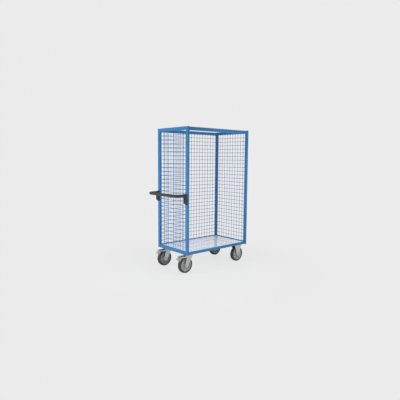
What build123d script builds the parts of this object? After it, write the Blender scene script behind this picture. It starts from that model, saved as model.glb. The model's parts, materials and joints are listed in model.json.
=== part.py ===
# Mesh-sided trolley: a tube cage with wire panels on three sides, a sheet deck, a push handle on
# one end and four casters, of which the two under the handle swivel and have foot brakes.
# Millimetres. X runs along the trolley with the handle at -X, the open side faces -Y, Z is up.
# The origin is on the floor, under the middle of the whole object.

from build123d import *
from math import ceil, cos, floor, radians, sin
import os

os.makedirs("parts", exist_ok=True)

# Cage
frame_length = 1035.0
frame_width = 615.0
frame_height = 1533.0
end_tube_face = 40.0  # tube face that is seen from the end of the trolley
end_tube_depth = 25.0  # the same tube, along the trolley
long_rail_width = 30.0
bottom_rail_height = 30.0
top_rail_height = 40.0
long_rail_set_in = 4.0  # ends of the posts to the long rails
tube_wall = 2.0
tube_inner_corner = 1.0

# Wire panels
mesh_spacing = 50.0
wire_diameter = 5.0
wire_sides = 8
back_mesh_set_in = 8.0  # inside of the back rails to the plane where the wires cross
handle_mesh_offset = 15.0  # grid of the handle-end panel, off the middle towards the back

# Deck and the channels under it
deck_thickness = 2.0
deck_edge_gap = 1.0
bearer_width = 40.0
bearer_height = 26.0
bearer_wall = 3.0
bearer_inner_corner = 2.0
bearer_end_gap = 2.0  # end rail to the bearer beside it

# Push handle
handle_diameter = 36.0
handle_wall = 2.0
handle_standoff = 154.0  # end of the cage to the middle of the grip
handle_bend = 60.0
handle_height = 721.0  # above the bottom of the cage
bracket_depth = 32.0
bracket_cover = 2.0  # bracket wall over the handle tube
bracket_drop = 110.0  # handle axis to the bracket's lower end
bracket_toe = 8.0
bracket_taper = 26.0
bracket_round = 3.0
socket_floor = 6.0  # bracket wall between the handle's end and the post
socket_gap = 0.1
screw_diameter = 8.0
screw_head_diameter = 13.0
screw_head_height = 8.0
screw_head_gap = 0.5
screw_key = 6.0
screw_key_depth = 4.0
screw_seat = 12.0  # head seat above the post
screw_below_handle = 23.0  # handle tube to the upper screw
screw_above_taper = 10.0  # bracket's taper to the lower screw
screw_reach = 6.0  # past the inside of the post's wall
thread_gap = 0.05

# Wheels
wheel_diameter = 200.0
wheel_width = 50.0
tyre_depth = 22.0
tyre_crown = 3.5  # tread edge below the middle of the tread
tyre_shoulder = 4.0
tyre_shoulder_drop = 6.5
bead_lip = 3.0
rim_flange = 6.0
rim_slope = 8.0
rim_web = 12.0
hub_wall = 8.0
hub_flare = 12.0
hub_shelf = 11.0
hub_overhang = 4.5  # hub past each side of the tyre
roller_diameter = 6.0
bearing_end_gap = 0.5
sleeve_wall = 4.0
axle_diameter = 12.0
running_gap = 0.05

# Forks and plates
fork_sheet = 4.0
fork_bend = 5.0  # inside radius
hub_side_gap = 0.7  # hub end to fork leg
crown_clearance = 20.0  # tyre to the underside of a swivel fork
fork_eye_radius = 24.0
fork_top_behind = 56.0  # swivel axis to the trailing edge of the leg's top
fork_top_ahead = 34.0
fixed_fork_inset = 5.0  # plate's end to a fixed fork
trail = 64.0
plate_length = 140.0
plate_thickness = 4.0
plate_corner = 12.0
plate_rail_gap = 5.5  # long rail to the plate's side
race_diameter = 88.0
race_bore = 60.0
race_height = 8.0
race_lip = 2.0  # race past the ring of balls, inside and outside
race_gap = 0.3
ball_diameter = 4.0
king_pin_diameter = 12.0
king_pin_head_diameter = 24.0
king_pin_head_height = 6.0

# Caster fixings and axle ends
bolt_inset_x = 17.5  # bolt from the plate's end
bolt_inset_y = 10.8  # bolt from the plate's side
bolt_diameter = 10.0
bolt_hole_gap = 0.5
bolt_head_flats = 17.0
bolt_head_height = 6.4
bolt_fork_gap = 1.5  # bolt heads to the side of a fork
nut_height = 8.0
bolt_tip = 2.0  # thread past the nut
axle_flats = 19.0
axle_head_height = 7.5
axle_nut_height = 10.0

# Foot brakes
brake_pivot_clearance = 28.0  # tyre to pivot
brake_pivot_angle = 124.5  # round the wheel, from straight ahead
brake_travel = 13.0  # degrees that the pedal is released by
brake_pin_diameter = 8.0
brake_pin_head_diameter = 14.0
brake_pin_head_height = 3.0
brake_arm_radius = 8.0
pedal_side_gap = 0.6
pedal_hub_radius = 8.0
pedal_tread_reach = 38.0  # pivot to the tread's tip, with the brake on
pedal_tread_drop = 35.0
pedal_lip_reach = 26.0
pedal_lip_rise = 6.5
pedal_tip_radius = 2.5
pedal_root_radius = 5.0
shoe_side_gap = 4.0  # tyre's side to the shoe's side
shoe_clearance = 0.4  # to the tyre, with the brake on
shoe_thickness = 8.0
shoe_lead = 10.5  # degrees round the wheel, from the pivot
shoe_sweep = 13.0

# Levels, stations and diameters that follow from the sizes above
wheel_radius = wheel_diameter / 2
rim_radius = wheel_radius - tyre_depth
sleeve_diameter = axle_diameter + 2 * sleeve_wall
bearing_diameter = sleeve_diameter + 2 * roller_diameter
hub_length = wheel_width + 2 * hub_overhang
fork_gap = hub_length + 2 * hub_side_gap
fork_width = fork_gap + 2 * fork_sheet
crown_bottom = wheel_diameter + crown_clearance
crown_top = crown_bottom + fork_sheet
race_bottom = crown_top + ball_diameter
plate_bottom = race_bottom + race_height
base = plate_bottom + plate_thickness
frame_bottom = base - long_rail_set_in
middle_z = frame_bottom + frame_height / 2
deck_bottom = base + bearer_height
inner_length = frame_length - 2 * end_tube_depth
inner_width = frame_width - 2 * long_rail_width
frame_x = (handle_standoff + handle_diameter / 2) / 2
handle_face = frame_x - frame_length / 2
handle_z = frame_bottom + handle_height
post_y = (frame_width - end_tube_face) / 2
bolt_spacing_x = plate_length - 2 * bolt_inset_x
bolt_spacing_y = fork_width + 2 * bolt_fork_gap + bolt_head_flats
plate_width = bolt_spacing_y + 2 * bolt_inset_y
bolt_hole_radius = bolt_diameter / 2 + bolt_hole_gap
caster_reach = inner_length / 2 - bearer_end_gap - (bearer_width + bolt_spacing_x) / 2
swivel_x = frame_x - caster_reach
fixed_x = frame_x + caster_reach
caster_y = inner_width / 2 - plate_rail_gap - plate_width / 2

ends = {"handle_end": -1, "far_end": 1}
sides = {"front": -1, "back": 1}
levels = {"bottom": -1, "top": 1}


def save(shape, name):
    shape.label = name
    export_step(shape, f"parts/{name}.step")


# Cage tubes

screw_upper = handle_diameter / 2 + screw_below_handle
screw_lower = bracket_drop - bracket_taper - screw_above_taper
screw_points = [(0, -screw_upper), (0, -screw_lower)]


def tube_section(width, height):
    RectangleRounded(width, height, tube_inner_corner + tube_wall)
    RectangleRounded(
        width - 2 * tube_wall,
        height - 2 * tube_wall,
        tube_inner_corner,
        mode=Mode.SUBTRACT,
    )


def corner_mitre(side, level):
    # 45 degree plane through an outer corner of an end frame, facing the post
    corner = (frame_x, side * frame_width / 2, middle_z + level * frame_height / 2)
    return Plane(corner, x_dir=(1, 0, 0), z_dir=(0, side, -level))


for end_name, end in ends.items():
    tube_x = frame_x + end * (frame_length - end_tube_depth) / 2

    for side_name, side in sides.items():
        with BuildPart() as post:
            with BuildSketch(Plane.XY.offset(frame_bottom)):
                with Locations((tube_x, side * post_y)):
                    tube_section(end_tube_depth, end_tube_face)
            extrude(amount=frame_height)
            for level in levels.values():
                split(bisect_by=corner_mitre(side, level), keep=Keep.TOP)
            if end_name == "handle_end":
                handle_seat = Plane((handle_face, side * post_y, handle_z), x_dir=(0, 1, 0), z_dir=(1, 0, 0))
                with BuildSketch(handle_seat):
                    with Locations(screw_points):
                        Circle(screw_diameter / 2 + thread_gap)
                extrude(amount=tube_wall, mode=Mode.SUBTRACT)
        save(post.part, f"{end_name}_{side_name}_post")

    for level_name, level in levels.items():
        rail_z = middle_z + level * (frame_height - end_tube_face) / 2
        rail_start = Plane((tube_x, -frame_width / 2, rail_z), x_dir=(1, 0, 0), z_dir=(0, 1, 0))
        with BuildPart() as end_rail:
            with BuildSketch(rail_start):
                tube_section(end_tube_depth, end_tube_face)
            extrude(amount=frame_width)
            for side in sides.values():
                split(bisect_by=corner_mitre(side, level), keep=Keep.BOTTOM)
        save(end_rail.part, f"{end_name}_{level_name}_rail")

rail_heights = {"bottom": bottom_rail_height, "top": top_rail_height}
for side_name, side in sides.items():
    rail_y = side * (frame_width - long_rail_width) / 2
    for level_name, level in levels.items():
        rail_height = rail_heights[level_name]
        rail_z = middle_z + level * ((frame_height - rail_height) / 2 - long_rail_set_in)
        rail_start = Plane((frame_x - inner_length / 2, rail_y, rail_z), x_dir=(0, 1, 0), z_dir=(1, 0, 0))
        with BuildPart() as long_rail:
            with BuildSketch(rail_start):
                tube_section(long_rail_width, rail_height)
            extrude(amount=inner_length)
        save(long_rail.part, f"{side_name}_{level_name}_rail")


# Deck sheet, and the channels that it lies on and the casters bolt to

with BuildPart() as deck:
    with BuildSketch(Plane.XY.offset(deck_bottom)):
        with Locations((frame_x, 0)):
            Rectangle(inner_length - 2 * deck_edge_gap, inner_width - 2 * deck_edge_gap)
    extrude(amount=deck_thickness)
save(deck.part, "deck_sheet")


def bearer(x, bolted):
    hollow_width = bearer_width - 2 * bearer_wall
    channel_end = Plane((x, inner_width / 2, base), x_dir=(1, 0, 0), z_dir=(0, -1, 0))
    with BuildPart() as channel:
        with BuildSketch(channel_end) as section:
            Rectangle(bearer_width, bearer_height, align=(Align.CENTER, Align.MIN))
            fillet(section.vertices().group_by(Axis.Y)[0], bearer_inner_corner + bearer_wall)
            with BuildSketch(mode=Mode.PRIVATE) as hollow:
                with Locations((0, bearer_wall)):
                    Rectangle(hollow_width, bearer_height, align=(Align.CENTER, Align.MIN))
                fillet(hollow.vertices().group_by(Axis.Y)[0], bearer_inner_corner)
            add(hollow.sketch, mode=Mode.SUBTRACT)
        extrude(amount=inner_width)
        if bolted:
            with BuildSketch(Plane.XY.offset(base)):
                with Locations((x, -caster_y), (x, caster_y)):
                    with GridLocations(bolt_spacing_x, bolt_spacing_y, 1, 2):
                        Circle(bolt_hole_radius)
            extrude(amount=bearer_wall, mode=Mode.SUBTRACT)
    return channel.part


for end_name, station_x in {"handle_end": swivel_x, "far_end": fixed_x}.items():
    for row_name, row in {"outer": ends[end_name], "inner": -ends[end_name]}.items():
        save(bearer(station_x + row * bolt_spacing_x / 2, True), f"{end_name}_{row_name}_bearer")
save(bearer(frame_x, False), "deck_stiffener")


# Welded-wire panels: upright wires outside, cross wires inside, touching where they cross


def wire_places(low, high, offset):
    # places on a grid with a mesh's middle at the offset, and with at least a wire's width between
    # the last wire and the tube beside it
    start = offset + mesh_spacing / 2
    first = ceil((low + wire_diameter - start) / mesh_spacing)
    last = floor((high - wire_diameter - start) / mesh_spacing)
    return [(start + step * mesh_spacing, 0) for step in range(first, last + 1)]


def wire_panel(name, panel, width, bottom, top, offset):
    radius = wire_diameter / 2
    turn = 180 / wire_sides
    foot = panel.from_local_coords((0, bottom, -radius))
    with BuildPart() as uprights:
        with BuildSketch(Plane(foot, x_dir=panel.x_dir, z_dir=panel.y_dir)):
            with Locations(wire_places(-width / 2, width / 2, offset)):
                RegularPolygon(radius, wire_sides, major_radius=False, rotation=turn)
        extrude(amount=top - bottom)
    start = panel.from_local_coords((-width / 2, 0, radius))
    with BuildPart() as cross_wires:
        with BuildSketch(Plane(start, x_dir=panel.y_dir, z_dir=panel.x_dir)):
            with Locations(wire_places(bottom, top, 0)):
                RegularPolygon(radius, wire_sides, major_radius=False, rotation=turn)
        extrude(amount=width)
    save(Compound(children=[uprights.part, cross_wires.part]), name)


back_plane = Plane(
    (frame_x, inner_width / 2 + back_mesh_set_in, middle_z),
    x_dir=(1, 0, 0),
    z_dir=(0, -1, 0),
)
long_rail_half = frame_height / 2 - long_rail_set_in
back_bottom = bottom_rail_height - long_rail_half
back_top = long_rail_half - top_rail_height
wire_panel("back_mesh", back_plane, inner_length, back_bottom, back_top, 0)

end_opening_width = frame_width - 2 * end_tube_face
end_opening_half = frame_height / 2 - end_tube_face
end_offsets = {"handle_end": -handle_mesh_offset, "far_end": 0}
for end_name, end in ends.items():
    panel_x = frame_x + end * (frame_length - end_tube_depth) / 2
    end_plane = Plane((panel_x, 0, middle_z), x_dir=(0, end, 0), z_dir=(-end, 0, 0))
    wire_panel(
        f"{end_name}_mesh",
        end_plane,
        end_opening_width,
        -end_opening_half,
        end_opening_half,
        end_offsets[end_name],
    )


# Push handle: a bent tube in two sockets that are screwed to the posts

socket_x = handle_face - socket_floor
grip_x = handle_face - handle_standoff
with BuildPart() as handle:
    with BuildLine():
        handle_run = FilletPolyline(
            (socket_x, -post_y, handle_z),
            (grip_x, -post_y, handle_z),
            (grip_x, post_y, handle_z),
            (socket_x, post_y, handle_z),
            radius=handle_bend,
        )
    with BuildSketch(Plane(handle_run @ 0, z_dir=handle_run % 0)):
        Circle(handle_diameter / 2)
        Circle(handle_diameter / 2 - handle_wall, mode=Mode.SUBTRACT)
    sweep()
save(handle.part, "push_handle")

bracket_top = handle_diameter / 2 + bracket_cover
bracket_face = handle_face - bracket_depth
for side_name, side in sides.items():
    outline = Plane((handle_face, side * post_y, handle_z), x_dir=(-1, 0, 0), z_dir=(0, 1, 0))
    front = Plane((bracket_face, side * post_y, handle_z), x_dir=(0, -1, 0), z_dir=(-1, 0, 0))
    with BuildPart() as bracket:
        with BuildSketch(outline):
            with BuildLine():
                Polyline(
                    (0, bracket_top),
                    (bracket_depth, bracket_top),
                    (bracket_depth, bracket_taper - bracket_drop),
                    (bracket_toe, -bracket_drop),
                    (0, -bracket_drop),
                    close=True,
                )
            make_face()
        extrude(amount=bracket_top, both=True)
        fillet(bracket.edges().group_by(Axis.X)[0], bracket_round)
        with BuildSketch(front):
            Circle(handle_diameter / 2 + socket_gap)
        extrude(amount=socket_floor - bracket_depth, mode=Mode.SUBTRACT)
        with Locations(front):
            with Locations(screw_points):
                CounterBoreHole(
                    screw_diameter / 2 + thread_gap,
                    screw_head_diameter / 2 + screw_head_gap,
                    bracket_depth - screw_seat,
                )
    save(bracket.part, f"{side_name}_handle_bracket")

head_seat = handle_face - screw_seat
with BuildPart() as handle_screws:
    for side in sides.values():
        seat = Plane((head_seat, side * post_y, handle_z), x_dir=(0, -1, 0), z_dir=(-1, 0, 0))
        with BuildSketch(seat):
            with Locations(screw_points):
                Circle(screw_head_diameter / 2)
        extrude(amount=screw_head_height)
        with BuildSketch(seat):
            with Locations(screw_points):
                Circle(screw_diameter / 2)
        extrude(amount=-(screw_seat + tube_wall + screw_reach))
        with BuildSketch(seat.offset(screw_head_height)):
            with Locations(screw_points):
                RegularPolygon(screw_key / 2, 6, major_radius=False)
        extrude(amount=-screw_key_depth, mode=Mode.SUBTRACT)
save(handle_screws.part, "handle_screws")


# Caster plates, bolts and nuts


def caster_plate(x, y, swivels):
    with BuildPart() as plate:
        with BuildSketch(Plane.XY.offset(plate_bottom)):
            with Locations((x, y)):
                RectangleRounded(plate_length, plate_width, plate_corner)
                with GridLocations(bolt_spacing_x, bolt_spacing_y, 2, 2):
                    Circle(bolt_hole_radius, mode=Mode.SUBTRACT)
                if swivels:
                    Circle(king_pin_diameter / 2, mode=Mode.SUBTRACT)
        extrude(amount=plate_thickness)
        if swivels:
            with BuildSketch(Plane.XY.offset(race_bottom)):
                with Locations((x, y)):
                    Circle(race_diameter / 2)
                    Circle(race_bore / 2, mode=Mode.SUBTRACT)
            extrude(amount=race_height)
    return plate.part


caster_places = [(x, y) for x in (swivel_x, fixed_x) for y in (-caster_y, caster_y)]
with BuildPart() as caster_bolts:
    with BuildSketch(Plane.XY.offset(plate_bottom)):
        with Locations(caster_places):
            with GridLocations(bolt_spacing_x, bolt_spacing_y, 2, 2):
                RegularPolygon(bolt_head_flats / 2, 6, major_radius=False)
    extrude(amount=-bolt_head_height)
    with BuildSketch(Plane.XY.offset(plate_bottom)):
        with Locations(caster_places):
            with GridLocations(bolt_spacing_x, bolt_spacing_y, 2, 2):
                Circle(bolt_diameter / 2)
    extrude(amount=plate_thickness + bearer_wall + nut_height + bolt_tip)
save(caster_bolts.part, "caster_bolts")

with BuildPart() as caster_nuts:
    with BuildSketch(Plane.XY.offset(base + bearer_wall)):
        with Locations(caster_places):
            with GridLocations(bolt_spacing_x, bolt_spacing_y, 2, 2):
                RegularPolygon(bolt_head_flats / 2, 6, major_radius=False)
                Circle(bolt_diameter / 2 + thread_gap, mode=Mode.SUBTRACT)
    extrude(amount=nut_height)
save(caster_nuts.part, "caster_nuts")


# Wheel: solid tyre on a dished rim, turning on a roller cage


def wheel(station, x, y):
    center = (x, y, wheel_radius)
    profile = Plane(center, x_dir=(0, 1, 0), z_dir=(1, 0, 0))
    spindle = Axis(center, (0, 1, 0))
    half = wheel_width / 2
    rim_half = half - bead_lip
    tread_half = half - tyre_shoulder
    tread_edge = wheel_radius - tyre_crown
    sidewall_top = tread_edge - tyre_shoulder_drop

    with BuildPart() as tyre:
        with BuildSketch(profile):
            with BuildLine():
                Polyline(
                    (-tread_half, tread_edge),
                    (-half, sidewall_top),
                    (-half, rim_radius + bead_lip),
                    (-rim_half, rim_radius),
                    (rim_half, rim_radius),
                    (half, rim_radius + bead_lip),
                    (half, sidewall_top),
                    (tread_half, tread_edge),
                )
                ThreePointArc((tread_half, tread_edge), (0, wheel_radius), (-tread_half, tread_edge))
            make_face()
        revolve(axis=spindle)
    save(tyre.part, f"{station}_tyre")

    flange_bottom = rim_radius - rim_flange
    web_half = rim_web / 2
    hub_radius = bearing_diameter / 2 + hub_wall
    hub_half = hub_length / 2
    with BuildPart() as rim:
        with BuildSketch(profile):
            with BuildLine():
                half_outline = Polyline(
                    (0, rim_radius),
                    (rim_half, rim_radius),
                    (rim_half, flange_bottom),
                    (web_half, flange_bottom - rim_slope),
                    (web_half, hub_radius + hub_flare),
                    (hub_half - hub_shelf, hub_radius),
                    (hub_half, hub_radius),
                    (hub_half, bearing_diameter / 2),
                    (0, bearing_diameter / 2),
                )
                mirror(half_outline, about=Plane.YZ)
            make_face()
        revolve(axis=spindle)
    save(rim.part, f"{station}_rim")

    with BuildPart() as roller_cage:
        with BuildSketch(Plane(center, x_dir=(1, 0, 0), z_dir=(0, -1, 0))):
            Circle(bearing_diameter / 2)
            Circle(sleeve_diameter / 2 + running_gap, mode=Mode.SUBTRACT)
        extrude(amount=hub_half - bearing_end_gap, both=True)
    save(roller_cage.part, f"{station}_roller_cage")


# Axle: a bolt through the fork, the sleeve that the rollers run on, and the nut


def axle(station, x, y, side):
    head_side = (x, y + side * fork_width / 2, wheel_radius)
    outside = Plane(head_side, x_dir=(1, 0, 0), z_dir=(0, side, 0))
    with BuildPart() as bolt:
        with BuildSketch(outside):
            RegularPolygon(axle_flats / 2, 6, major_radius=False)
        extrude(amount=axle_head_height)
        with BuildSketch(outside):
            Circle(axle_diameter / 2)
        extrude(amount=-(fork_width + axle_nut_height + bolt_tip))
    with BuildPart() as sleeve:
        with BuildSketch(outside.offset(-fork_sheet)):
            Circle(sleeve_diameter / 2)
            Circle(axle_diameter / 2 + running_gap, mode=Mode.SUBTRACT)
        extrude(amount=-fork_gap)
    with BuildPart() as nut:
        with BuildSketch(outside.offset(-fork_width)):
            RegularPolygon(axle_flats / 2, 6, major_radius=False)
            Circle(axle_diameter / 2 + thread_gap, mode=Mode.SUBTRACT)
        extrude(amount=-axle_nut_height)
    save(Compound(children=[bolt.part, sleeve.part, nut.part]), f"{station}_axle")


# Forks: one pressed channel each, cut to the outline of its legs

pivot_radius = wheel_radius + brake_pivot_clearance
pivot_x = -trail + pivot_radius * cos(radians(brake_pivot_angle))
pivot_z = wheel_radius + pivot_radius * sin(radians(brake_pivot_angle))
fixed_fork_half = plate_length / 2 - fixed_fork_inset


def fork_channel(x, y, top, half_length):
    # channel section, open downwards, run along the fork
    with BuildSketch(Plane((x, y, top), x_dir=(0, 1, 0), z_dir=(1, 0, 0))) as section:
        Rectangle(fork_width, top, align=(Align.CENTER, Align.MAX))
        fillet(section.vertices().group_by(Axis.Y)[-1], fork_bend + fork_sheet)
        with BuildSketch(mode=Mode.PRIVATE) as gap:
            with Locations((0, -fork_sheet)):
                Rectangle(fork_gap, top, align=(Align.CENTER, Align.MAX))
            fillet(gap.vertices().group_by(Axis.Y)[-1], fork_bend)
        add(gap.sketch, mode=Mode.SUBTRACT)
    extrude(section.sketch, amount=half_length, both=True)


def leg_outline(axle_x, top, top_start, top_end):
    with BuildLine() as edge:
        CenterArc((axle_x, wheel_radius), fork_eye_radius, 0, 360)
        Line((top_start, top), (top_end, top))
    make_hull(edge.edges())


def swivel_fork(x, y):
    side_view = Plane((x, y, 0), x_dir=(1, 0, 0), z_dir=(0, -1, 0))
    with BuildPart() as fork:
        fork_channel(x, y, crown_top, pivot_radius + trail)
        with BuildSketch(side_view):
            leg_outline(-trail, crown_top, -fork_top_behind, fork_top_ahead)
            with BuildLine() as arm:
                CenterArc((pivot_x, pivot_z), brake_arm_radius, 0, 360)
                CenterArc((-fork_top_behind, pivot_z), brake_arm_radius, 0, 360)
            make_hull(arm.edges())
        extrude(amount=fork_width / 2, both=True, mode=Mode.INTERSECT)
        with BuildSketch(Plane.XY.offset(crown_bottom)):
            with Locations((x, y)):
                Circle(race_diameter / 2)
        extrude(amount=fork_sheet)
        with BuildSketch(Plane.XY.offset(crown_bottom)):
            with Locations((x, y)):
                Circle(king_pin_diameter / 2 + running_gap)
        extrude(amount=fork_sheet, mode=Mode.SUBTRACT)
        with BuildSketch(side_view):
            with Locations((-trail, wheel_radius)):
                Circle(axle_diameter / 2 + running_gap)
            with Locations((pivot_x, pivot_z)):
                Circle(brake_pin_diameter / 2 + running_gap)
        extrude(amount=fork_width / 2, both=True, mode=Mode.SUBTRACT)
    return fork.part


def fixed_fork(x, y):
    side_view = Plane((x, y, 0), x_dir=(1, 0, 0), z_dir=(0, -1, 0))
    with BuildPart() as fork:
        fork_channel(x, y, plate_bottom, fixed_fork_half)
        with BuildSketch(side_view):
            leg_outline(0, plate_bottom, -fixed_fork_half, fixed_fork_half)
        extrude(amount=fork_width / 2, both=True, mode=Mode.INTERSECT)
        with BuildSketch(side_view):
            with Locations((0, wheel_radius)):
                Circle(axle_diameter / 2 + running_gap)
        extrude(amount=fork_width / 2, both=True, mode=Mode.SUBTRACT)
    return fork.part


# Swivel head: the king pin hangs from the plate and carries the fork on a ring of balls


def king_pin(x, y):
    head_top = crown_bottom - race_gap
    with BuildPart() as pin:
        with BuildSketch(Plane.XY.offset(base)):
            with Locations((x, y)):
                Circle(king_pin_diameter / 2)
        extrude(amount=head_top - base)
        with BuildSketch(Plane.XY.offset(head_top)):
            with Locations((x, y)):
                Circle(king_pin_head_diameter / 2)
        extrude(amount=-king_pin_head_height)
    return pin.part


def ball_ring(x, y):
    with BuildPart() as ring:
        with BuildSketch(Plane.XY.offset(crown_top)):
            with Locations((x, y)):
                Circle(race_diameter / 2 - race_lip)
                Circle(race_bore / 2 + race_lip, mode=Mode.SUBTRACT)
        extrude(amount=ball_diameter - race_gap)
    return ring.part


# Foot brake: a rocker on a pin between the fork's rear arms, drawn with the brake on and turned back


def brake_pin(x, y):
    head_side = (x + pivot_x, y - fork_width / 2, pivot_z)
    outside = Plane(head_side, x_dir=(1, 0, 0), z_dir=(0, -1, 0))
    with BuildPart() as pin:
        with BuildSketch(outside):
            Circle(brake_pin_diameter / 2)
        extrude(amount=-fork_width)
        with BuildSketch(outside):
            Circle(brake_pin_head_diameter / 2)
        extrude(amount=brake_pin_head_height)
        with BuildSketch(outside.offset(-fork_width)):
            Circle(brake_pin_head_diameter / 2)
        extrude(amount=-brake_pin_head_height)
    return pin.part


def brake_pedal(x, y):
    release = radians(brake_travel)
    released = (cos(release), 0, -sin(release))
    turned = Plane((x + pivot_x, y, pivot_z), x_dir=released, z_dir=(0, -1, 0))
    wheel_x = -trail - pivot_x
    wheel_z = wheel_radius - pivot_z
    face_radius = wheel_radius + shoe_clearance
    back_radius = face_radius + shoe_thickness
    knuckle_radius = face_radius + shoe_thickness / 2
    shoe_start = brake_pivot_angle + shoe_lead
    shoe_middle = radians(shoe_start + shoe_sweep / 2)
    knuckle_x = wheel_x + knuckle_radius * cos(shoe_middle)
    knuckle_z = wheel_z + knuckle_radius * sin(shoe_middle)
    pedal_half = fork_gap / 2 - pedal_side_gap
    tread_tip = (-pedal_tread_reach, -pedal_tread_drop)
    lip_tip = (-pedal_lip_reach, pedal_lip_rise)
    with BuildPart() as pedal:
        with BuildSketch(turned):
            for tip in (tread_tip, lip_tip):
                with BuildLine() as blade:
                    CenterArc((0, 0), pedal_root_radius, 0, 360)
                    CenterArc(tip, pedal_tip_radius, 0, 360)
                make_hull(blade.edges())
            Circle(pedal_hub_radius)
        extrude(amount=pedal_half, both=True)
        with BuildSketch(turned):
            with BuildLine() as shoe_arm:
                CenterArc((0, 0), pedal_hub_radius, 0, 360)
                CenterArc((knuckle_x, knuckle_z), shoe_thickness / 2, 0, 360)
            make_hull(shoe_arm.edges())
            with BuildLine():
                face = CenterArc((wheel_x, wheel_z), face_radius, shoe_start, shoe_sweep)
                back = CenterArc((wheel_x, wheel_z), back_radius, shoe_start, shoe_sweep)
                Line(face @ 0, back @ 0)
                Line(face @ 1, back @ 1)
            make_face()
        extrude(amount=wheel_width / 2 - shoe_side_gap, both=True)
        with BuildSketch(turned):
            Circle(brake_pin_diameter / 2 + running_gap)
        extrude(amount=pedal_half, both=True, mode=Mode.SUBTRACT)
    return pedal.part


for side_name, side in sides.items():
    y = side * caster_y

    station = f"swivel_{side_name}"
    save(caster_plate(swivel_x, y, True), f"{station}_plate")
    save(king_pin(swivel_x, y), f"{station}_king_pin")
    save(ball_ring(swivel_x, y), f"{station}_ball_ring")
    save(swivel_fork(swivel_x, y), f"{station}_fork")
    save(brake_pin(swivel_x, y), f"{station}_brake_pin")
    save(brake_pedal(swivel_x, y), f"{station}_brake_pedal")
    axle(station, swivel_x - trail, y, side)
    wheel(station, swivel_x - trail, y)

    station = f"fixed_{side_name}"
    save(caster_plate(fixed_x, y, False), f"{station}_plate")
    save(fixed_fork(fixed_x, y), f"{station}_fork")
    axle(station, fixed_x, y, side)
    wheel(station, fixed_x, y)
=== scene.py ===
import json
from math import ceil, floor, pi, radians

import bpy
from mathutils import Euler, Matrix, Vector

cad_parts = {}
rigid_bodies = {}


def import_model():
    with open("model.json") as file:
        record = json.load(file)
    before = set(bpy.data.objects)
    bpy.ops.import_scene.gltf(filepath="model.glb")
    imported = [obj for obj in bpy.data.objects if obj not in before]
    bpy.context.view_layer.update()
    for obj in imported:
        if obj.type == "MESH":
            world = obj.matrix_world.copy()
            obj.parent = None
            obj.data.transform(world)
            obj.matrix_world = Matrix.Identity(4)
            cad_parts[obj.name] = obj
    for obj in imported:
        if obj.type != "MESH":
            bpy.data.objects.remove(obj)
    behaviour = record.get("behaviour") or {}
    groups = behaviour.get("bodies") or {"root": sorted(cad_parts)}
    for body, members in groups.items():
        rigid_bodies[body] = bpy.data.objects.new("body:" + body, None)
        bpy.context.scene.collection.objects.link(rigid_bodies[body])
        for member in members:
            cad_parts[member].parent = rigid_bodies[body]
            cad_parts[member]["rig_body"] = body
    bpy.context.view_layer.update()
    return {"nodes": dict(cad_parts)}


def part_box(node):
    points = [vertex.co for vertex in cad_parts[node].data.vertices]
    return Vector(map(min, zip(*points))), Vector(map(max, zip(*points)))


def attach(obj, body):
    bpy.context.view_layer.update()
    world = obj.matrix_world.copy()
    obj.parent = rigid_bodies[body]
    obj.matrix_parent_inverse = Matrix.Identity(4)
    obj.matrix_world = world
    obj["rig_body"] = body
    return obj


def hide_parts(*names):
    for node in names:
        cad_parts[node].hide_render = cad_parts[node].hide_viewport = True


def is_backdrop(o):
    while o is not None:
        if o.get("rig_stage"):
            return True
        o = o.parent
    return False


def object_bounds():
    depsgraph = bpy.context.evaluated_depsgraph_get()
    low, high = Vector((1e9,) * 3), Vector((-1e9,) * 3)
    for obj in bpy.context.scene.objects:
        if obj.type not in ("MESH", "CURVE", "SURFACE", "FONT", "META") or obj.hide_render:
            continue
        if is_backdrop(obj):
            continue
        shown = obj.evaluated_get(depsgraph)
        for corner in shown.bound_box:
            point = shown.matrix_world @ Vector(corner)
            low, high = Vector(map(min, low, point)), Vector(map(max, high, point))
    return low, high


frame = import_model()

# Camera: it stands four and a half metres off the near corner at the handle end, at chest height, and looks
# slightly down. Its focal length is a moderate wide one.
camera_place = (-3.269, -3.817, 1.3975)
camera_yaw = radians(40.79)
camera_pitch = radians(6.17)
camera_roll = radians(0.44)
picture_pixels = 400
focal_pixels = 384.8
film_width = 36.0
level_turn = Euler((pi / 2 - camera_pitch, 0, -camera_yaw)).to_matrix()
camera_turn = level_turn @ Matrix.Rotation(camera_roll, 3, "Z")
bpy.ops.object.camera_add(location=camera_place, rotation=camera_turn.to_euler())
camera = bpy.context.object
camera.data.sensor_width = film_width
camera.data.lens = film_width * focal_pixels / picture_pixels
bpy.context.scene.camera = camera
bpy.context.scene.view_settings.view_transform = "Standard"


# Studio: a pale floor of painted board that runs out to the horizon under an even pale sky. Soft boxes stand
# off the handle end, in front, low down at the near corner and behind the far corner, and a wide one hangs
# overhead. The one off the handle end is the strongest.


def srgb(colour):
    """A hex colour as linear red, green, blue and alpha."""
    parts = [int(colour[start:start + 2], 16) / 255 for start in (0, 2, 4)]
    return [part / 12.92 if part <= 0.04045 else ((part + 0.055) / 1.055) ** 2.4 for part in parts] + [1]


def add_node(tree, kind, inputs, **settings):
    """Adds a shader node, with its settings, and links or sets each of its inputs."""
    node = tree.nodes.new(kind)
    for name, value in settings.items():
        setattr(node, name, value)
    for socket, value in inputs.items():
        if isinstance(value, bpy.types.NodeSocket):
            tree.links.new(value, node.inputs[socket])
        else:
            node.inputs[socket].default_value = value
    return node


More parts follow.
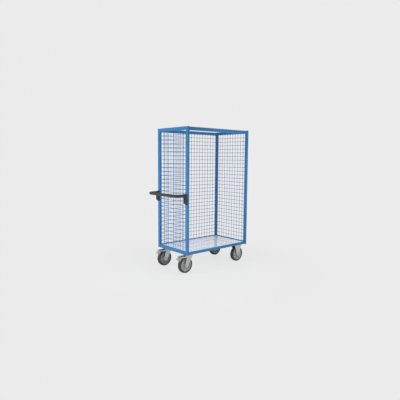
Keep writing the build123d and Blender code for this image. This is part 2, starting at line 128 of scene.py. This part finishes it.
def seen_directly(tree):
    """1 where a ray from the camera, a reflection or a clear piece meets this surface, 0 for its light."""
    path = add_node(tree, "ShaderNodeLightPath", {})
    mirrored = add_node(
        tree, "ShaderNodeMath", {0: path.outputs["Is Glossy Ray"], 1: path.outputs["Is Transmission Ray"]},
        operation="ADD", use_clamp=True,
    )
    seen = add_node(
        tree, "ShaderNodeMath", {0: mirrored.outputs[0], 1: path.outputs["Is Camera Ray"]},
        operation="ADD", use_clamp=True,
    )
    return seen.outputs[0]


pale_grey = srgb("EBEBEB")
sky_level = 0.05
sky = bpy.data.worlds.new("studio_sky")
bpy.context.scene.world = sky
sky.use_nodes = True
tree = sky.node_tree
tree.nodes.clear()
lit = add_node(tree, "ShaderNodeBackground", {"Color": (1, 1, 1, 1), "Strength": sky_level})
shown = add_node(tree, "ShaderNodeBackground", {"Color": pale_grey, "Strength": 1.0})
either = add_node(
    tree, "ShaderNodeMixShader", {0: seen_directly(tree), 1: lit.outputs[0], 2: shown.outputs[0]}
)
add_node(tree, "ShaderNodeOutputWorld", {"Surface": either.outputs[0]})

# Round the object the board takes a share of its tone from the light on it, which is where the shadow shows.
# That share fades out with the distance, and the rest is a glow in the tone of the sky, so that the lamps
# leave no bright pools and the far floor meets the sky with no line.
floor_reach = 400.0
floor_white = 0.83
shadow_share = 0.12
shadow_reach = (0.8, 1.8)
bpy.ops.object.select_all(action="DESELECT")
bpy.ops.mesh.primitive_plane_add(size=floor_reach)
board = bpy.context.object
board.name = "studio_floor"
painted_board = bpy.data.materials.new("painted_board")
painted_board.use_nodes = True
tree = painted_board.node_tree
tree.nodes.clear()
matt = add_node(tree, "ShaderNodeBsdfDiffuse", {"Color": (floor_white, floor_white, floor_white, 1)})
glow = add_node(tree, "ShaderNodeEmission", {"Color": pale_grey, "Strength": 1.0})
place = add_node(tree, "ShaderNodeTexCoord", {}).outputs["Object"]
distance = add_node(tree, "ShaderNodeVectorMath", {0: place}, operation="LENGTH")
fading = add_node(
    tree, "ShaderNodeMapRange",
    {
        "Value": distance.outputs["Value"], "From Min": shadow_reach[0], "From Max": shadow_reach[1],
        "To Min": 1 - shadow_share, "To Max": 1.0,
    },
    interpolation_type="SMOOTHSTEP",
)
glow_share = add_node(
    tree, "ShaderNodeMath", {0: seen_directly(tree), 1: fading.outputs["Result"]}, operation="MULTIPLY"
)
paint = add_node(
    tree, "ShaderNodeMixShader", {0: glow_share.outputs[0], 1: matt.outputs[0], 2: glow.outputs[0]}
)
add_node(tree, "ShaderNodeOutputMaterial", {"Surface": paint.outputs[0]})
board.data.materials.append(painted_board)
board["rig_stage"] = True

# Each soft box has its place, what it points at, its width in metres and its power in watts. The three that
# stand level with the cage are left out of reflections, because the deck would mirror them as patches of
# plain white.
soft_boxes = {
    "end_soft_box": ((-2.5, 0.3, 1.3), (0.0, 0.0, 0.9), 1.3, 56.0),
    "front_soft_box": ((0.3, -1.4, 1.2), (0.1, 0.0, 0.9), 1.0, 14.2),
    "low_soft_box": ((-0.8, -1.4, 0.4), (-0.4, 0.1, 0.1), 0.7, 3.0),
    "back_soft_box": ((2.0, 2.3, 1.1), (0.1, 0.0, 0.9), 1.6, 36.0),
    "overhead_soft_box": ((1.0, -0.1, 3.5), (0.2, 0.0, 0.0), 4.0, 48.0),
}
unmirrored = ("end_soft_box", "front_soft_box", "back_soft_box")
for name, (stand, target, width, watts) in soft_boxes.items():
    aim = (Vector(target) - Vector(stand)).to_track_quat("-Z", "Y")
    bpy.ops.object.light_add(type="AREA", location=stand, rotation=aim.to_euler())
    lamp = bpy.context.object
    lamp.name = name
    lamp.visible_glossy = name not in unmirrored
    lamp.data.size = width
    lamp.data.energy = watts


# Cage: welded steel tube, mitred at the corners of the two end frames, with long rails of tube between
# them. It is powder coated after welding, and so are the channels under the deck.
nodes = frame["nodes"]
mm = 0.001


def begin_material(name):
    """A new material's node tree, its shader and the place on the piece that its patterns follow."""
    material = bpy.data.materials.new(name)
    material.use_nodes = True
    tree = material.node_tree
    place = add_node(tree, "ShaderNodeTexCoord", {}).outputs["Object"]
    return material, tree, tree.nodes["Principled BSDF"], place


def link_looks(tree, shader, tone, gloss, relief):
    """Links a material's colour, roughness and fine relief to its shader."""
    tree.links.new(tone.outputs["Color"], shader.inputs["Base Color"])
    tree.links.new(gloss.outputs["Result"], shader.inputs["Roughness"])
    tree.links.new(relief.outputs["Normal"], shader.inputs["Normal"])


# Polyester powder coat bakes to a smooth satin skin. Up close it has a fine orange peel, which softens
# what it mirrors, and the coat is a shade deeper where it lies thicker. The peel is drawn at twice its
# real width so that it shows.
peel_width = 2.4 * mm
peel_depth = 0.1 * mm
thickness_patch = 90 * mm
powder_blue, tree, shader, place = begin_material("powder_coated_steel_blue")
patches = add_node(tree, "ShaderNodeTexNoise", {"Vector": place, "Scale": 1 / thickness_patch, "Detail": 3.0})
tone = add_node(
    tree, "ShaderNodeMixRGB",
    {"Fac": patches.outputs["Fac"], "Color1": srgb("3470A2"), "Color2": srgb("3E7AAC")},
)
peel = add_node(tree, "ShaderNodeTexNoise", {"Vector": place, "Scale": 1 / peel_width, "Detail": 1.0})
skin = add_node(
    tree, "ShaderNodeBump", {"Height": peel.outputs["Fac"], "Strength": 0.12, "Distance": peel_depth}
)
gloss = add_node(
    tree, "ShaderNodeMapRange", {"Value": patches.outputs["Fac"], "To Min": 0.42, "To Max": 0.58}
)
link_looks(tree, shader, tone, gloss, skin)
shader.inputs["Specular IOR Level"].default_value = 0.25

for name, node in nodes.items():
    if name.endswith(("_post", "_rail", "_bearer")) or name == "deck_stiffener":
        node.material_slots[0].material = powder_blue


# Weld beads: each long rail is welded to its posts where it stands back from them, with a row of small
# overlapping ripples as a hand torch leaves. The coat covers them.
bead_height = 2.2 * mm
ripple_step = 1.7 * mm
ripple_length = 1.5 * mm
ripple_sides = 8
ripple_rings = 5
rail_corner = 3 * mm
crisp_turn = radians(40)


def apply_modifiers(piece):
    """Bakes a piece's modifiers into its mesh, in order."""
    bpy.context.view_layer.objects.active = piece
    for modifier in list(piece.modifiers):
        bpy.ops.object.modifier_apply(modifier=modifier.name)


def array(piece, step, count):
    """Repeats a piece along a step."""
    copies = piece.modifiers.new("copies", "ARRAY")
    copies.use_relative_offset = False
    copies.use_constant_offset = True
    copies.constant_offset_displace = step
    copies.count = count


def settle(pieces, name):
    """Joins pieces into one object that sits at the origin, with smooth rounds and crisp edges."""
    bpy.ops.object.select_all(action="DESELECT")
    for piece in pieces:
        piece.select_set(True)
    bpy.context.view_layer.objects.active = pieces[0]
    bpy.ops.object.join()
    joined = bpy.context.object
    joined.name = name
    bpy.ops.object.transform_apply(location=True, rotation=True, scale=True)
    bpy.ops.object.shade_smooth_by_angle(angle=crisp_turn)
    return joined


def weld_run(start, end):
    """A row of ripples from start to end."""
    run = Vector(end) - Vector(start)
    step = run.normalized() * ripple_step
    stretch = [ripple_length if abs(part) > ripple_step / 2 else bead_height for part in step]
    bpy.ops.mesh.primitive_uv_sphere_add(
        segments=ripple_sides, ring_count=ripple_rings, radius=1, location=start, scale=stretch
    )
    ripple = bpy.context.object
    bpy.ops.object.transform_apply(location=False, rotation=False, scale=True)
    array(ripple, step, int(run.length / ripple_step) + 1)
    apply_modifiers(ripple)
    return ripple


beads = []
for side in ("front", "back"):
    inward = 1 if side == "front" else -1
    for level in ("bottom", "top"):
        low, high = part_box(f"{side}_{level}_rail")
        ledge = high.z if level == "bottom" else low.z
        inner_y = high.y if side == "front" else low.y
        outer_y = low.y if side == "front" else high.y
        corner_y = inner_y - inward * rail_corner
        far_z = low.z if level == "bottom" else high.z
        away = -1 if level == "bottom" else 1
        corner_z = ledge + away * rail_corner
        for end_x in (low.x, high.x):
            beads.append(weld_run((end_x, outer_y + inward * rail_corner, ledge), (end_x, corner_y, ledge)))
            beads.append(weld_run((end_x, inner_y, corner_z), (end_x, inner_y, far_z)))
rail_welds = settle(beads, "rail_welds")
rail_welds.data.materials.append(powder_blue)
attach(rail_welds, "chassis")


# Deck: one flat steel sheet, stove enamelled and dropped in between the rails. It lies loose on the
# channels, a little below the tops of the rails.

# Stove enamel is a smooth pale grey skin, a shade towards blue. It mirrors the cage at a low angle, and what
# it mirrors wavers, because the thin sheet is not quite flat. Sliding boxes leave faint duller streaks.
streak_length = 400 * mm
streak_width = 12 * mm
sheet_wave = 260 * mm
sheet_wave_depth = 1 * mm
pale_enamel, tree, shader, place = begin_material("stove_enamelled_steel_pale_grey")
streak_scale = (1 / streak_length, 1 / streak_width, 1 / streak_width)
stretched = add_node(tree, "ShaderNodeMapping", {"Vector": place, "Scale": streak_scale})
streaks = add_node(
    tree, "ShaderNodeTexNoise", {"Vector": stretched.outputs["Vector"], "Scale": 1.0, "Detail": 3.0}
)
tone = add_node(
    tree, "ShaderNodeMixRGB",
    {"Fac": streaks.outputs["Fac"], "Color1": srgb("E2E7F3"), "Color2": srgb("EAEEF7")},
)
gloss = add_node(tree, "ShaderNodeMapRange", {"Value": streaks.outputs["Fac"], "To Min": 0.0, "To Max": 0.05})
wave = add_node(tree, "ShaderNodeTexNoise", {"Vector": place, "Scale": 1 / sheet_wave, "Detail": 0.0})
flatness = add_node(
    tree, "ShaderNodeBump", {"Height": wave.outputs["Fac"], "Strength": 0.1, "Distance": sheet_wave_depth}
)
link_looks(tree, shader, tone, gloss, flatness)
shader.inputs["Specular IOR Level"].default_value = 1.0
nodes["deck_sheet"].material_slots[0].material = pale_enamel


# Wire panels: 5 mm drawn wire on a 50 mm grid, with the uprights outside and the cross wires inside. They
# are spot welded at each crossing and let into the tubes, and the blue coat covers them with the cage.

# The same coat looks a stronger, flatter blue on thin wire, where it gathers thicker. It lies in slight
# waves along the wire and is paler in short stretches, where it ran thin.
thin_stretch = 35 * mm
coat_wave = 3 * mm
coat_wave_depth = 0.1 * mm
wire_coat, tree, shader, place = begin_material("powder_coated_wire_blue")
thinning = add_node(tree, "ShaderNodeTexNoise", {"Vector": place, "Scale": 1 / thin_stretch, "Detail": 2.0})
tone = add_node(
    tree, "ShaderNodeMixRGB",
    {"Fac": thinning.outputs["Fac"], "Color1": srgb("2670AB"), "Color2": srgb("367AB1")},
)
gloss = add_node(
    tree, "ShaderNodeMapRange", {"Value": thinning.outputs["Fac"], "To Min": 0.52, "To Max": 0.68}
)
waves = add_node(tree, "ShaderNodeTexNoise", {"Vector": place, "Scale": 1 / coat_wave, "Detail": 1.0})
skin = add_node(
    tree, "ShaderNodeBump", {"Height": waves.outputs["Fac"], "Strength": 0.15, "Distance": coat_wave_depth}
)
link_looks(tree, shader, tone, gloss, skin)
shader.inputs["Specular IOR Level"].default_value = 0.2

mesh_spacing = 50 * mm
handle_mesh_offset = 15 * mm
wire_sides = 12
nugget_width = 7 * mm
nugget_thickness = 3.6 * mm
nugget_sides = 8
nugget_rings = 4


def wire_places(low, high, offset, wire):
    """First place and count of wires between two tubes, with a mesh's middle at the offset."""
    start = offset + mesh_spacing / 2
    first = ceil((low + wire - start) / mesh_spacing)
    last = floor((high - wire - start) / mesh_spacing)
    return start + first * mesh_spacing, last - first + 1


def wire_panel(name, run, outward, offset):
    """A panel in place of a CAD one. Its cross wires lie along run, and its uprights on the outward side."""
    low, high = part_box(name)
    middle = (low + high) / 2
    # The rows of every panel are level with those of the handle end's panel
    end_low, end_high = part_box("handle_end_mesh")
    grid_z = (end_low.z + end_high.z) / 2
    width = abs((high - low).dot(run))
    height = high.z - low.z
    wire = abs((high - low).dot(outward)) / 2
    first_along, columns = wire_places(-width / 2, width / 2, offset, wire)
    first_up, rows = wire_places(low.z - grid_z, high.z - grid_z, 0, wire)
    first_column = run * first_along
    first_row = Vector((0, 0, grid_z + first_up - middle.z))
    sideways = run * mesh_spacing
    upwards = Vector((0, 0, mesh_spacing))

    bpy.ops.mesh.primitive_cylinder_add(
        vertices=wire_sides, radius=wire / 2, depth=height,
        location=middle + first_column + outward * wire / 2,
    )
    uprights = bpy.context.object
    array(uprights, sideways, columns)
    apply_modifiers(uprights)

    bpy.ops.mesh.primitive_cylinder_add(
        vertices=wire_sides, radius=wire / 2, depth=width, location=middle + first_row - outward * wire / 2,
        rotation=run.to_track_quat("Z", "Y").to_euler(),
    )
    cross_wires = bpy.context.object
    bpy.ops.object.transform_apply(location=False, rotation=True, scale=False)
    array(cross_wires, upwards, rows)
    apply_modifiers(cross_wires)

    flattened = [nugget_thickness / 2 if abs(part) > 0.5 else nugget_width / 2 for part in outward]
    bpy.ops.mesh.primitive_uv_sphere_add(
        segments=nugget_sides, ring_count=nugget_rings, radius=1,
        location=middle + first_column + first_row, scale=flattened,
    )
    nuggets = bpy.context.object
    bpy.ops.object.transform_apply(location=False, rotation=False, scale=True)
    array(nuggets, sideways, columns)
    array(nuggets, upwards, rows)
    apply_modifiers(nuggets)

    panel = settle([uprights, cross_wires, nuggets], f"{name}_wires")
    panel.data.materials.append(wire_coat)
    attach(panel, "chassis")
    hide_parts(name)


wire_panel("back_mesh", Vector((1, 0, 0)), Vector((0, 1, 0)), 0)
wire_panel("handle_end_mesh", Vector((0, 1, 0)), Vector((-1, 0, 0)), handle_mesh_offset)
wire_panel("far_end_mesh", Vector((0, 1, 0)), Vector((1, 0, 0)), 0)


# Push handle: 36 mm steel tube, bent to a U with its bar across the end of the cage at hip height. It is
# powder coated dark grey, and each of its ends is pushed into the socket of a bracket.

# A fine-textured powder coat: matt, with a close grain that catches small points of light. Hands rub it a
# little paler and smoother in places. The grain is drawn at three times the real half millimetre so that it
# shows.
grain_width = 1.5 * mm
grain_depth = 0.1 * mm
rub_length = 120 * mm
powder_grey, tree, shader, place = begin_material("powder_coated_steel_dark_grey")
rubbed = add_node(tree, "ShaderNodeTexNoise", {"Vector": place, "Scale": 1 / rub_length, "Detail": 2.0})
tone = add_node(
    tree, "ShaderNodeMixRGB",
    {"Fac": rubbed.outputs["Fac"], "Color1": srgb("2E2F34"), "Color2": srgb("3A3B41")},
)
gloss = add_node(tree, "ShaderNodeMapRange", {"Value": rubbed.outputs["Fac"], "To Min": 0.63, "To Max": 0.47})
grain = add_node(tree, "ShaderNodeTexNoise", {"Vector": place, "Scale": 1 / grain_width, "Detail": 2.0})
texture = add_node(
    tree, "ShaderNodeBump", {"Height": grain.outputs["Fac"], "Strength": 0.3, "Distance": grain_depth}
)
link_looks(tree, shader, tone, gloss, texture)
shader.inputs["Specular IOR Level"].default_value = 0.25
nodes["push_handle"].material_slots[0].material = powder_grey


# Handle brackets: two blocks moulded in black polyamide, each with a socket that takes an end of the handle.
# Each lies against an end post, and two screws in sunk holes hold it there.
moulded_edge = 0.8 * mm

# Points nearer than the merge gap become one, faces that turn by less than the flat turn become one flat
# face, and edges that turn by more than the eased turn are eased.
merge_gap = 0.002 * mm
flat_turn = radians(1)
eased_turn = radians(35)
easing_steps = 2


def eased_copy(name, edge):
    """A CAD piece with its sharp edges eased, as moulding, pressing or tumbling leaves them."""
    piece = bpy.data.objects.new(f"{name}_eased", nodes[name].data.copy())
    bpy.context.scene.collection.objects.link(piece)
    bpy.ops.object.select_all(action="DESELECT")
    piece.select_set(True)
    bpy.context.view_layer.objects.active = piece
    bpy.ops.mesh.customdata_custom_splitnormals_clear()
    bpy.ops.object.mode_set(mode="EDIT")
    bpy.ops.mesh.select_all(action="SELECT")
    bpy.ops.mesh.remove_doubles(threshold=merge_gap)
    bpy.ops.mesh.dissolve_limited(angle_limit=flat_turn)
    bpy.ops.object.mode_set(mode="OBJECT")
    easing = piece.modifiers.new("easing", "BEVEL")
    easing.width = edge
    easing.segments = easing_steps
    easing.limit_method = "ANGLE"
    easing.angle_limit = eased_turn
    apply_modifiers(piece)
    bpy.ops.object.shade_smooth_by_angle(angle=crisp_turn)
    return piece


def stand_for(piece, name, material):
    """Gives a piece its material and puts it in the place of a CAD node, on the same body."""
    piece.data.materials.clear()
    piece.data.materials.append(material)
    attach(piece, nodes[name]["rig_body"])
    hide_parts(name)


# Glass-filled polyamide from a spark-eroded mould: black, with a fine even grain that keeps it from
# shining and faint paler flow marks. The grain is drawn coarser than the real tenth of a millimetre so
# that it shows.
mould_grain = 1.0 * mm
mould_grain_depth = 0.1 * mm
mould_flow = 22 * mm
black_polyamide, tree, shader, place = begin_material("moulded_polyamide_black")
grain = add_node(tree, "ShaderNodeTexVoronoi", {"Vector": place, "Scale": 1 / mould_grain})
texture = add_node(
    tree, "ShaderNodeBump",
    {"Height": grain.outputs["Distance"], "Strength": 0.25, "Distance": mould_grain_depth},
)
flow = add_node(tree, "ShaderNodeTexNoise", {"Vector": place, "Scale": 1 / mould_flow, "Detail": 2.0})
tone = add_node(
    tree, "ShaderNodeMixRGB",
    {"Fac": flow.outputs["Fac"], "Color1": srgb("222326"), "Color2": srgb("2B2C2F")},
)
gloss = add_node(tree, "ShaderNodeMapRange", {"Value": flow.outputs["Fac"], "To Min": 0.5, "To Max": 0.6})
link_looks(tree, shader, tone, gloss, texture)

for side in ("front", "back"):
    bracket = f"{side}_handle_bracket"
    stand_for(eased_copy(bracket, moulded_edge), bracket, black_polyamide)


# Handle screws: four steel screws with round socket heads, blackened. They go through the brackets into the
# posts, and their heads sit in the sunk holes.

# Black oxide leaves dark steel with a dull oily gloss, thinner and browner in small patches. The steel under
# it is faintly pitted.
oxide_patch = 4 * mm
pit_width = 0.8 * mm
pit_depth = 0.05 * mm
black_steel, tree, shader, place = begin_material("blackened_steel")
oxide = add_node(tree, "ShaderNodeTexNoise", {"Vector": place, "Scale": 1 / oxide_patch, "Detail": 3.0})
tone = add_node(
    tree, "ShaderNodeMixRGB",
    {"Fac": oxide.outputs["Fac"], "Color1": srgb("28282A"), "Color2": srgb("383430")},
)
gloss = add_node(tree, "ShaderNodeMapRange", {"Value": oxide.outputs["Fac"], "To Min": 0.32, "To Max": 0.48})
pits = add_node(tree, "ShaderNodeTexNoise", {"Vector": place, "Scale": 1 / pit_width, "Detail": 2.0})
pitting = add_node(
    tree, "ShaderNodeBump", {"Height": pits.outputs["Fac"], "Strength": 0.1, "Distance": pit_depth}
)
link_looks(tree, shader, tone, gloss, pitting)
shader.inputs["Metallic"].default_value = 1.0
nodes["handle_screws"].material_slots[0].material = black_steel


# Caster steel: plates, forks and brake pedals pressed from sheet, turned axles and pins, and plain bolts, all
# zinc plated. A fork hangs from its plate on a ball race and a king pin, or is welded to the plate, and four
# bolts hold each plate to the channels.

# Clear-passivated zinc is a light cool grey with a silky gloss, a little cloudy from the bath. Under it the
# sheet keeps short upright lines from the press, drawn twice as wide as they are so that they show.
cloud_width = 18 * mm
press_line_width = 0.8 * mm
press_line_length = 20 * mm
press_line_depth = 0.05 * mm
zinc_plate, tree, shader, place = begin_material("zinc_plated_steel")
clouds = add_node(tree, "ShaderNodeTexNoise", {"Vector": place, "Scale": 1 / cloud_width, "Detail": 3.0})
tone = add_node(
    tree, "ShaderNodeMixRGB",
    {"Fac": clouds.outputs["Fac"], "Color1": srgb("B6B9B8"), "Color2": srgb("CACCCA")},
)
gloss = add_node(tree, "ShaderNodeMapRange", {"Value": clouds.outputs["Fac"], "To Min": 0.3, "To Max": 0.42})
line_scale = (1 / press_line_width, 1 / press_line_width, 1 / press_line_length)
drawn = add_node(tree, "ShaderNodeMapping", {"Vector": place, "Scale": line_scale})
lines = add_node(
    tree, "ShaderNodeTexNoise", {"Vector": drawn.outputs["Vector"], "Scale": 1.0, "Detail": 2.0}
)
pressing = add_node(
    tree, "ShaderNodeBump", {"Height": lines.outputs["Fac"], "Strength": 0.1, "Distance": press_line_depth}
)
link_looks(tree, shader, tone, gloss, pressing)
shader.inputs["Metallic"].default_value = 1.0

sheet_edge = 0.7 * mm
head_edge = 0.5 * mm
for name, node in list(nodes.items()):
    if name.endswith(("_fork", "_brake_pedal")):
        stand_for(eased_copy(name, sheet_edge), name, zinc_plate)
    elif name.endswith(("_plate", "_axle", "_brake_pin")) or name == "caster_bolts":
        stand_for(eased_copy(name, head_edge), name, zinc_plate)
    elif name.endswith(("_king_pin", "_ball_ring", "_roller_cage")) or name == "caster_nuts":
        node.material_slots[0].material = zinc_plate


# Tyres: solid dark grey rubber with a crowned tread and a shallow panel sunk in each side. Each is moulded
# round its rim, so nothing else holds it on.
spin_steps = 96
rounding_steps = 3
ring_crisp_turn = radians(30)


def turned(name, wheel_centre, outline, rounding):
    """A ring with the given outline of offset along the axle and distance from it, spun about the axle."""
    bpy.ops.object.select_all(action="DESELECT")
    bpy.ops.mesh.primitive_circle_add(vertices=len(outline), radius=1)
    ring = bpy.context.object
    ring.name = name
    for vertex, (along, out) in zip(ring.data.vertices, outline):
        vertex.co = wheel_centre + Vector((0, along, out))
    bpy.ops.object.mode_set(mode="EDIT")
    bpy.ops.mesh.select_all(action="SELECT")
    bpy.ops.mesh.bevel(offset=rounding, segments=rounding_steps, affect="VERTICES")
    bpy.ops.mesh.spin(steps=spin_steps, angle=2 * pi, center=wheel_centre, axis=(0, 1, 0))
    bpy.ops.mesh.select_all(action="SELECT")
    bpy.ops.mesh.remove_doubles(threshold=merge_gap)
    bpy.ops.mesh.normals_make_consistent(inside=False)
    bpy.ops.object.mode_set(mode="OBJECT")
    bpy.ops.object.shade_smooth_by_angle(angle=ring_crisp_turn)
    return ring


def copy_to(piece, name, step):
    """A copy of a piece with its own mesh, moved by a step."""
    bpy.ops.object.select_all(action="DESELECT")
    piece.select_set(True)
    bpy.context.view_layer.objects.active = piece
    bpy.ops.object.duplicate()
    twin = bpy.context.object
    twin.name = name
    twin.location = step
    bpy.ops.object.transform_apply(location=True, rotation=False, scale=False)
    return twin


# Grey rubber is matt, with a soft bloom that comes and goes and a fine grain from the mould. The grain is
# drawn three times as coarse as it is so that it shows.
bloom_patch = 25 * mm
rubber_grain = 0.9 * mm
rubber_grain_depth = 0.1 * mm
grey_rubber, tree, shader, place = begin_material("moulded_rubber_dark_grey")
bloom = add_node(tree, "ShaderNodeTexNoise", {"Vector": place, "Scale": 1 / bloom_patch, "Detail": 4.0})
tone = add_node(
    tree, "ShaderNodeMixRGB",
    {"Fac": bloom.outputs["Fac"], "Color1": srgb("353636"), "Color2": srgb("414241")},
)
gloss = add_node(tree, "ShaderNodeMapRange", {"Value": bloom.outputs["Fac"], "To Min": 0.6, "To Max": 0.8})
grain = add_node(tree, "ShaderNodeTexNoise", {"Vector": place, "Scale": 1 / rubber_grain, "Detail": 2.0})
texture = add_node(
    tree, "ShaderNodeBump", {"Height": grain.outputs["Fac"], "Strength": 0.25, "Distance": rubber_grain_depth}
)
link_looks(tree, shader, tone, gloss, texture)

tyre_depth = 22 * mm
tread_drop = 3.5 * mm
shoulder = 4 * mm
shoulder_drop = 6.5 * mm
inner_chamfer = 3 * mm
panel_depth = 0.8 * mm
panel_inset = 3 * mm
crown_points = 7
tyre_rounding = 1.0 * mm
low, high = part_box("swivel_front_tyre")
tyre_centre = (low + high) / 2
tyre_radius = (high.z - low.z) / 2
tyre_half = (high.y - low.y) / 2
tread_half = tyre_half - shoulder
rim_radius = tyre_radius - tyre_depth
panel_top = tyre_radius - tread_drop - shoulder_drop - panel_inset
panel_bottom = rim_radius + inner_chamfer + panel_inset
tread = []
for point in range(crown_points):
    along = tread_half * (2 * point / (crown_points - 1) - 1)
    tread.append((along, tyre_radius - tread_drop * (along / tread_half) ** 2))
flank = [
    (tyre_half, tyre_radius - tread_drop - shoulder_drop),
    (tyre_half, panel_top),
    (tyre_half - panel_depth, panel_top - panel_depth),
    (tyre_half - panel_depth, panel_bottom + panel_depth),
    (tyre_half, panel_bottom),
    (tyre_half, rim_radius + inner_chamfer),
    (tyre_half - inner_chamfer, rim_radius),
]
other_flank = [(-along, out) for along, out in reversed(flank)]
first_tyre = turned("swivel_front_tyre_rubber", tyre_centre, tread + flank + other_flank, tyre_rounding)

other_wheels = ("swivel_back", "fixed_front", "fixed_back")
for wheel in other_wheels:
    low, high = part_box(f"{wheel}_tyre")
    tyre = copy_to(first_tyre, f"{wheel}_tyre_rubber", (low + high) / 2 - tyre_centre)
    stand_for(tyre, f"{wheel}_tyre", grey_rubber)
stand_for(first_tyre, "swivel_front_tyre", grey_rubber)


# Rims: moulded grey polypropylene, dished on both sides, with a flange under the tyre, a raised ring on
# the web and a long hub that holds the roller bearing.

# Polypropylene is waxy and smooth, a mid grey with faint flow marks from the mould. Its skin sinks a little
# where it cooled unevenly, so what it mirrors wavers.
flow_mark = 30 * mm
sink_mark = 14 * mm
sink_depth = 0.3 * mm
grey_polypropylene, tree, shader, place = begin_material("moulded_polypropylene_grey")
flow = add_node(tree, "ShaderNodeTexNoise", {"Vector": place, "Scale": 1 / flow_mark, "Detail": 2.0})
tone = add_node(
    tree, "ShaderNodeMixRGB",
    {"Fac": flow.outputs["Fac"], "Color1": srgb("9A9C9A"), "Color2": srgb("A6A8A6")},
)
gloss = add_node(tree, "ShaderNodeMapRange", {"Value": flow.outputs["Fac"], "To Min": 0.38, "To Max": 0.52})
sinks = add_node(tree, "ShaderNodeTexNoise", {"Vector": place, "Scale": 1 / sink_mark, "Detail": 1.0})
skin = add_node(
    tree, "ShaderNodeBump", {"Height": sinks.outputs["Fac"], "Strength": 0.15, "Distance": sink_depth}
)
link_looks(tree, shader, tone, gloss, skin)

flange = 6 * mm
dish_slope = 8 * mm
web_half = 6 * mm
hub_radius = 24 * mm
hub_flare = 12 * mm
hub_shelf = 11 * mm
bearing_radius = 16 * mm
web_ring_radius = 50 * mm
web_ring_height = 1.5 * mm
web_ring_half = 3 * mm
rim_rounding = 1.2 * mm
low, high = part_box("swivel_front_rim")
rim_centre = (low + high) / 2
hub_half = (high.y - low.y) / 2
rim_half = tyre_half - inner_chamfer
face = [
    (rim_half, rim_radius),
    (rim_half, rim_radius - flange),
    (web_half, rim_radius - flange - dish_slope),
    (web_half, web_ring_radius + web_ring_half),
    (web_half + web_ring_height, web_ring_radius),
    (web_half, web_ring_radius - web_ring_half),
    (web_half, hub_radius + hub_flare),
    (hub_half - hub_shelf, hub_radius),
    (hub_half, hub_radius),
    (hub_half, bearing_radius),
]
other_face = [(-along, out) for along, out in reversed(face)]
first_rim = turned("swivel_front_rim_moulding", rim_centre, face + other_face, rim_rounding)

for wheel in other_wheels:
    low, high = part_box(f"{wheel}_rim")
    rim = copy_to(first_rim, f"{wheel}_rim_moulding", (low + high) / 2 - rim_centre)
    stand_for(rim, f"{wheel}_rim", grey_polypropylene)
stand_for(first_rim, "swivel_front_rim", grey_polypropylene)


# Size: the box round the dressed object, leaving out the stage
low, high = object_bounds()
